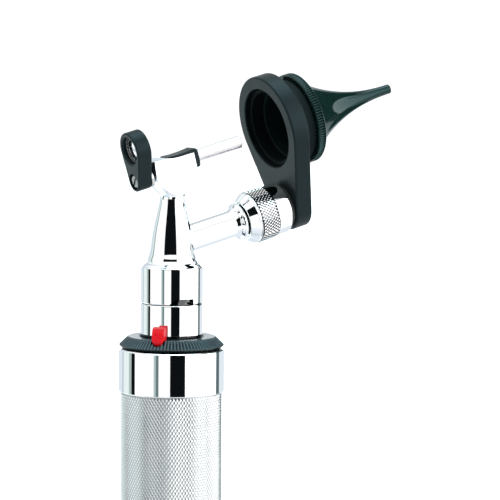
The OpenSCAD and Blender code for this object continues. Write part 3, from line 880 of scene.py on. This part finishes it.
def tongue(name, half, foot, top, low, high):
    """A prism along the button's radius with a round lower end. Half is half its width."""
    steps = 16
    contour = [(foot + half * 1.3 * (1 - math.sin(math.pi * k / steps)),
                half * math.cos(math.pi * k / steps)) for k in range(steps + 1)]
    return prism(name, [(top, half), *contour, (top, -half)], low, high, BUTTON_OUTWARDS)


# How deep the gaps between the ring's ribs are, and how far below its top the notch for the
# button starts
RING_RIB_DEPTH = 0.45
NOTCH_DROP = 1.6


def ring_cutters():
    """The groove under the ring, and the pocket and the notch that the button sits in"""
    groove = lathe("groove", [(9.5, ring_low - 1), (12.6, ring_low - 1), (12.6, ring_low + 1.1),
                              (9.5, ring_low + 1.1)], UPRIGHT, closed=True)
    inner, outer = (float(corner[0]) for corner in BUTTON_AXIS.extent("lock_button"))
    start, end, half = inner - 0.15, outer + 0.15, (BUTTON_W + 0.3) / 2
    slot = prism("slot", [(start, -half), (end, -half), (end, half), (start, half)],
                 ring_high - NOTCH_DROP - 1.2, ring_high + 3, BUTTON_AXIS)
    notch = tongue("notch", BUTTON_W / 2 + 0.2, ring_high - NOTCH_DROP, ring_high + 3, outer,
                   outer + 4)
    return groove, slot, notch


def add_ring():
    r = UPRIGHT.radius("rheostat_ring")
    bore_r, steps = 8.63, 10
    foot, rise = ring_low + 0.9, ring_high - ring_low - 1.2
    cone = [(r + (RING_TOP_R + 0.15 - r) * k / steps, foot + rise * k / steps)
            for k in range(steps + 1)]
    start = rounded([(bore_r, ring_low), (r - 0.8, ring_low), (r, ring_low + 0.75), cone[0]], 0.1)
    end = rounded([cone[-1], (RING_TOP_R - 0.35, ring_high), (bore_r + 0.45, ring_high),
                   (bore_r, ring_high - 0.45)], 0.25)
    ribbed = {height for radius, height in cone}

    def shape(radius, height, angle):
        if height not in ribbed:
            return radius
        wave = 0.5 + 0.5 * math.cos(RING_RIBS * angle)
        return radius - RING_RIB_DEPTH * (1 - wave) ** 1.5

    ring = lathe("ring", start[:-1] + cone + end[1:], UPRIGHT, turns=RING_RIBS * 8, closed=True,
                 shape=shape)
    done(cut(ring, *ring_cutters()), "rheostat_ring", sharp=45)


def add_button():
    low, high = BUTTON_AXIS.extent("lock_button")
    inner, outer, foot, top = low[0], high[0], low[2], high[2]
    side = Axis((0, 0, 0), BUTTON_AXIS.x.cross(UPRIGHT.direction), toward=BUTTON_AXIS.x)
    contour = [(inner, foot), (outer - 0.4, foot, 0.4), (outer, foot + 1.3, 1.0),
               (outer - 0.2, top - 1.6, 0.8), (outer - 0.8, top - 0.35, 0.7),
               (inner + 0.5, top, 0.5), (inner, top - 0.5, 0.3)]
    button = prism("button", rounded(contour, 0.1, closed=True), -BUTTON_W / 2, BUTTON_W / 2,
                   side)
    tip = tongue("tip", BUTTON_W / 2 - 0.05, foot, top + 1, inner - 1, outer + 1)
    button = cut(button, tip, operation="INTERSECT")
    done(bevel(button, 0.35, 4, 50), "lock_button", sharp=60)


# ---------------------------------------------------------------- head

# Turned outline of the head above its collar: radius at height over the joint, in millimetres
CONE_LINE = [(7.75, 10.75), (7.2, 11.15), (6.85, 11.75), (6.62, 12.6), (6.0, 14.7), (5.25, 19.9),
             (4.0, 25.6), (3.56, 27.6), (3.42, 29.0), (3.66, 29.8), (4.35, 30.5), (5.3, 31.5),
             (6.4, 32.7), (7.3, 34.0), (7.75, 36.0), (8.05, 38.0), (8.3, 41.0), (8.4, 45.5)]
BLOCK_EDGE = 0.62
# Window in the collar's lower edge: degrees from +X, with a ramp up to its full height
WINDOW_FROM, WINDOW_FULL, WINDOW_TO = 239, 251, 287
WINDOW_H = 1.75


def smooth_line(points, steps=6):
    """A smooth curve through points"""
    points = [np.array(point, float) for point in points]
    ends = [2 * points[0] - points[1], *points, 2 * points[-1] - points[-2]]
    curve = []
    for i in range(1, len(ends) - 2):
        a, b, c, d = ends[i - 1:i + 3]
        for k in range(steps):
            t = k / steps
            curve.append(tuple(0.5 * (2 * b + (c - a) * t + (2 * a - 5 * b + 4 * c - d) * t * t
                                      + (3 * b - a - 3 * c + d) * t ** 3)))
    return curve + [tuple(points[-1])]


def block_cutters():
    """What makes the head's flat block out of its turned top"""
    block = OPTIC.local("head_body")
    block = block[block[:, 2] > 4]
    half, front = float(block[:, 1].max()), float(block[:, 2].max())
    far = 30
    cutters = [prism("slab", [(-far, side * half), (-far, side * far), (far, side * far),
                              (far, side * half)][::side], JOINT_Z + 27.2, JOINT_Z + 60, UPRIGHT)
               for side in (1, -1)]
    # Each of these is points along the optical axis and above it
    ahead = [(front, -7.7), (front, far), (far, far), (far, -7.7)]
    above = [(-far, 1.45), (-8, 1.45), (-3.1, 1.2), (-1.6, 0.84), (0.3, 0.66), (front, 0.6),
             (far, 0.6), (far, far), (-far, far)]
    under = [(front - 0.4, -8.5), (1.2, -9.8), (far, -9.8), (far, -7.6), (front, -7.6)]
    for name, points in (("ahead", ahead), ("above", above), ("under", under)):
        cutters.append(prism(name, [(s, -h) for s, h in points], -far, far, SIDE))
    return cutters


def collar_window():
    """A wedge from the handle's axis that opens the collar's lower edge, with a ramp at one end"""
    reach, step = 12, 4
    floor, rise = JOINT_Z - 0.05, WINDOW_H + 0.05
    points = [(0, 0, JOINT_Z - 1), (0, 0, JOINT_Z + WINDOW_H)]
    for degrees in range(WINDOW_FROM, WINDOW_TO + 1, step):
        share = min(1, (degrees - WINDOW_FROM) / (WINDOW_FULL - WINDOW_FROM))
        x, y = (reach * turn(math.radians(degrees)) for turn in (math.cos, math.sin))
        points += [(x, y, JOINT_Z - 1), (x, y, floor + rise * share)]
    last = len(points) - 2
    faces = [(0, 1, 3, 2), (0, last, last + 1, 1)]
    for k in range(2, last, 2):
        faces += [(k, k + 1, k + 3, k + 2), (0, k, k + 2), (1, k + 3, k + 1)]
    return new_piece("window", points, faces, UPRIGHT)


def add_head():
    bottom, collar_top = UPRIGHT.span("head_body")[0], JOINT_Z + 10
    socket_r, socket_top = 6.95, JOINT_Z + 6.6
    line = smooth_line([(r, JOINT_Z + h) for r, h in CONE_LINE])
    corners = rounded([(0, socket_top), (socket_r, socket_top), (socket_r, bottom),
                       (NECK_R, bottom, 0.4), (NECK_R, collar_top, 0.45),
                       (8.1, collar_top + 0.35, 0.2), line[0]], 0.12, steps=6)[:-1]
    head = lathe("head", corners + line + [(0, line[-1][1])], UPRIGHT, turns=224)
    head = bevel(cut(head, *block_cutters()), BLOCK_EDGE, 6, 32)
    head = cut(head, collar_window())
    boss = spin("boss", [(0, -8.0), (2.6, -8.0), (2.6, -6.4), (0, -6.4)], LENS_PIVOT, 0.1)
    done(join("turned_head", head, boss), "head_body", sharp=28)


def add_arm():
    start, end = ARM.span("arm")
    r, flare_r = 3.75, 5.3
    corners = [(0, start), (r, start), (r, end - 2.9, 2.0), (r + 0.5, end - 1.75, 0.8),
               (flare_r - 0.15, end - 1.2, 0.4), (flare_r, end - 0.62, 0.4),
               (flare_r - 0.2, end - 0.2, 0.2), (4.7, end), (0, end)]
    done(spin("arm_turned", corners, ARM, 0.1, 6, turns=192), "arm")


# Diamonds of the nut's knurl
NUT_AROUND = 48
NUT_TALL = 1.12
NUT_DEPTH = 0.2


def add_nut():
    start, end = ARM.span("tension_nut")
    bore_r, core_r = 2.55, NUT_R - NUT_DEPTH - 0.05
    knurl_low, knurl_high = (start + height for height in NUT_KNURL)
    corners = [(bore_r, start), (5.5, start, 0.3), (7.1, start + 2.1, 0.25),
               (7.15, start + 2.3, 0.1), (6.85, start + 2.5, 0.1), (7.15, start + 2.7, 0.1),
               (core_r, knurl_low + 0.05), (core_r, knurl_high),
               (7.1, knurl_high + 0.1), (7.1, end - 0.25, 0.3), (6.7, end), (bore_r, end)]
    shell = spin("nut_shell", corners, ARM, 0.08, 5, turns=192)
    diamonds = knurl("nut_diamonds", NUT_R, NUT_DEPTH, knurl_low, knurl_high, NUT_AROUND,
                     NUT_TALL, ARM, flat=0.25)
    done(join("knurled_nut", shell, diamonds), "tension_nut", sharp=14)


# ---------------------------------------------------------------- speculum side

HOLDER_RIM = 0.55


def add_holder():
    arm_place = parallel(ARM_DROP)
    place = Axis(OPTIC_ORIGIN, optic_direction, toward=arm_place)
    pivot = Axis(arm_place, optic_direction)
    low, high = place.extent("speculum_holder")
    back, top = low[2], high[2]
    front, boss_r = top - 0.9, 13.4
    recess_r, seat_r, pivot_r, well_r = 11.32, 11.2, 3.4, 4.9
    body = plate("holder", teardrop(high[1], high[0] - ARM_DROP, ARM_DROP),
                 rounded_edge(back, front, HOLDER_RIM, 6), place)
    boss = spin("boss", [(0, front - 1), (boss_r, front - 1), (boss_r, top, 0.25), (0, top)],
                place, 0.1, turns=192)
    body = cut_plate(body, boss, operation="UNION")
    cutters = [
        lathe("recess", bore(recess_r, back, back + 0.5, (0.3, 0)), place, turns=192),
        lathe("seat", bore(seat_r, back + 1, top), place, turns=192),
        lathe("pivot", bore(pivot_r, back, front), pivot),
        lathe("screw_well", bore(well_r, back + 4.2, front, (0, 0.2)), pivot),
    ]
    done(cut_plate(body, *cutters), "speculum_holder", sharp=30)


def add_screw(node, screw, half, low, high, axis, softened):
    """Cuts the slot into a turned screw on the head. Half is half the slot's width."""
    far = 8
    slot = prism("slot", [(-far, -half), (far, -half), (far, half), (-far, half)], low, high,
                 axis)
    done(bevel(cut(screw, slot), softened, 2, 50), node, sharp=40)


def add_pivot_screw():
    low, high = ARM.span("pivot_screw")
    head_r, shank_r, under = ARM.radius("pivot_screw"), 1.5, high - 1.05
    corners = [(0, low), (shank_r, low), (shank_r, under), (head_r, under),
               (head_r, high - 0.25, 0.2), (head_r - 0.3, high, 0.3), (0, high)]
    screw = spin("screw", corners, ARM, 0.08)
    add_screw("pivot_screw", screw, 0.5, high - 0.55, high + 1, ARM, 0.05)


SPECULUM_RIB_DEPTH = 0.45
# How far the ribs end short of the flange's two edges
SPECULUM_RIB_END = 0.12


def add_speculum():
    corners = outline("speculum", OPTIC)
    flange_r = OPTIC.radius("speculum") - 0.01
    rim = [h for r, h in corners if r > flange_r]
    rib_low, rib_high = min(rim) + SPECULUM_RIB_END, max(rim) - SPECULUM_RIB_END
    smooth = rounded(corners, 0.18, closed=True)
    dense = []
    for i, corner in enumerate(smooth):
        dense.append(corner)
        after = smooth[(i + 1) % len(smooth)]
        if min(corner[0], after[0]) > flange_r and abs(after[1] - corner[1]) > 1:
            dense += [(corner[0], corner[1] + (after[1] - corner[1]) * t) for t in (0.04, 0.96)]

    def shape(radius, height, angle):
        if radius < flange_r or not rib_low < height < rib_high:
            return radius
        wave = 0.5 + 0.5 * math.cos(SPECULUM_RIBS * angle)
        return radius - SPECULUM_RIB_DEPTH * (1 - wave) ** 1.2

    done(lathe("ear_speculum", dense, OPTIC, turns=SPECULUM_RIBS * 6, closed=True, shape=shape),
         "speculum", sharp=40)


# ---------------------------------------------------------------- light and lens

def side_outline(node, axis):
    """The outline of an extruded CAD node's flat side and how far out the side is"""
    points = axis.local(node)
    side = points[:, 1].max()
    uses = {}
    for face in nodes[node].data.polygons:
        if all(points[i][1] > side - 1e-4 for i in face.vertices):
            for edge in face.edge_keys:
                uses[edge] = uses.get(edge, 0) + 1
    beside = {}
    for (a, b), count in uses.items():
        if count == 1:
            beside.setdefault(a, []).append(b)
            beside.setdefault(b, []).append(a)
    return [tuple(points[i]) for i in walk(beside, min(beside))], side


def add_shield():
    corners, wide = side_outline("light_shield", OPTIC)
    contour = rounded([(s, drop) for drop, _, s in corners], 0.45, steps=5, closed=True)
    shield = prism("shield", contour, -wide, wide, SIDE)
    hole = lathe("hole", [(0, 0), (1.6, 0), (1.6, 12), (0, 12)], LIGHT, turns=64)
    done(bevel(cut(shield, hole), 0.14, 3, 50), "light_shield", sharp=45)


def add_lens_holder():
    low, high = LENS_PIVOT.extent("lens_holder")
    back, front = low[2], high[2]
    big = float((LENS.local("lens_holder")[:, 1]).max())
    well_r, shoulder_r, head_well_r, shank_r = 3.65, 3.3, 2.2, 1.25
    lens_to_pivot = Axis(LENS.origin, optic_direction, toward=LENS_PIVOT.origin)
    body = plate("lens_body", teardrop(big, -low[0], LENS_REACH, 60),
                 rounded_edge(back, front, 0.35, 5), lens_to_pivot)
    cutters = [
        lathe("well", bore(well_r, back, front - 1.9, (0.7, 0)), LENS, turns=128),
        lathe("shoulder", bore(shoulder_r, back + 1, front, (0, 0.2)), LENS, turns=128),
        lathe("head_well", bore(head_well_r, back, back + 0.45, (0.18, 0)), LENS_PIVOT, turns=96),
        lathe("shank", bore(shank_r, back + 1, front, (0, 0.1)), LENS_PIVOT, turns=64),
    ]
    done(cut_plate(body, *cutters), "lens_holder", sharp=30)


# Radius of the magnifying lens's curved face, in millimetres
LENS_CURVE = 10.0


def add_lens():
    low, high = LENS.span("magnifier_lens")
    radius = max(r for r, h in outline("magnifier_lens", LENS))
    steps = 20
    dome = [(r, low + 0.05 + LENS_CURVE - math.sqrt(LENS_CURVE ** 2 - r ** 2))
            for r in (radius * k / steps for k in range(steps + 1))]
    solid = dome + rounded([dome[-1], (radius, high, 0.1), (0, high)], 0.05)[1:]
    done(lathe("magnifier", solid, LENS, turns=128), "magnifier_lens", sharp=50)


def add_lens_screw():
    top, end = LENS_PIVOT.span("lens_screw")
    head_r, shank_r, under, slot_angle = 1.85, 1.2, top + 1.05, 0.6
    corners = [(0, top), (head_r - 0.25, top, 0.2), (head_r, top + 0.22, 0.15),
               (head_r, under), (shank_r, under), (shank_r, end), (0, end)]
    aside = Vector((math.cos(slot_angle), math.sin(slot_angle), 0))
    slot_axis = Axis(LENS_PIVOT.origin, optic_direction, toward=LENS_PIVOT.matrix @ aside)
    screw = spin("screw", corners, LENS_PIVOT, 0.06, turns=96)
    add_screw("lens_screw", screw, 0.3, top - 1, top + 0.45, slot_axis, 0.04)


def add_pressed_springs():
    """Copies of the CAD springs under the button and the contact pin. Nothing here flattens them as these go in.
    """
    for joint in frame["record"]["behaviour"]["joints"]:
        if joint["name"] not in ("lock_button_press", "contact_pin_press"):
            continue
        node, fixed_end = (joint["deforming_nodes"][0][key] for key in ("node", "fixed_end_z_m"))
        spring = add_object(node + "_coil", nodes[node].data.copy())
        hand_over(spring, node)
        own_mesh(spring)


# ---------------------------------------------------------------- assembly

def dress_cad_nodes():
    """Gives every CAD node the procedural material of its record slot"""
    for node, slot in SLOT_OF.items():
        dress(nodes[node].data, slot)


add_camera()
add_studio()
add_floor()
dress_cad_nodes()
add_grip_tube()
add_turned("upper_band", UPRIGHT, 0.12, turns=256)
add_neck()
add_end_cap()
add_ring()
add_button()
add_head()
add_arm()
add_nut()
add_turned("friction_washer", ARM, 0.1)
add_holder()
add_turned("speculum_seat", OPTIC, 0.2, turns=192)
add_pivot_screw()
add_speculum()
add_turned("light_tube", LIGHT, 0.12, turns=128)
add_shield()
add_lens_holder()
add_lens()
add_turned("lens_ring", LENS, turns=128)
add_lens_screw()
add_turned("wave_washer", LENS_PIVOT, 0.06)
add_pressed_springs()
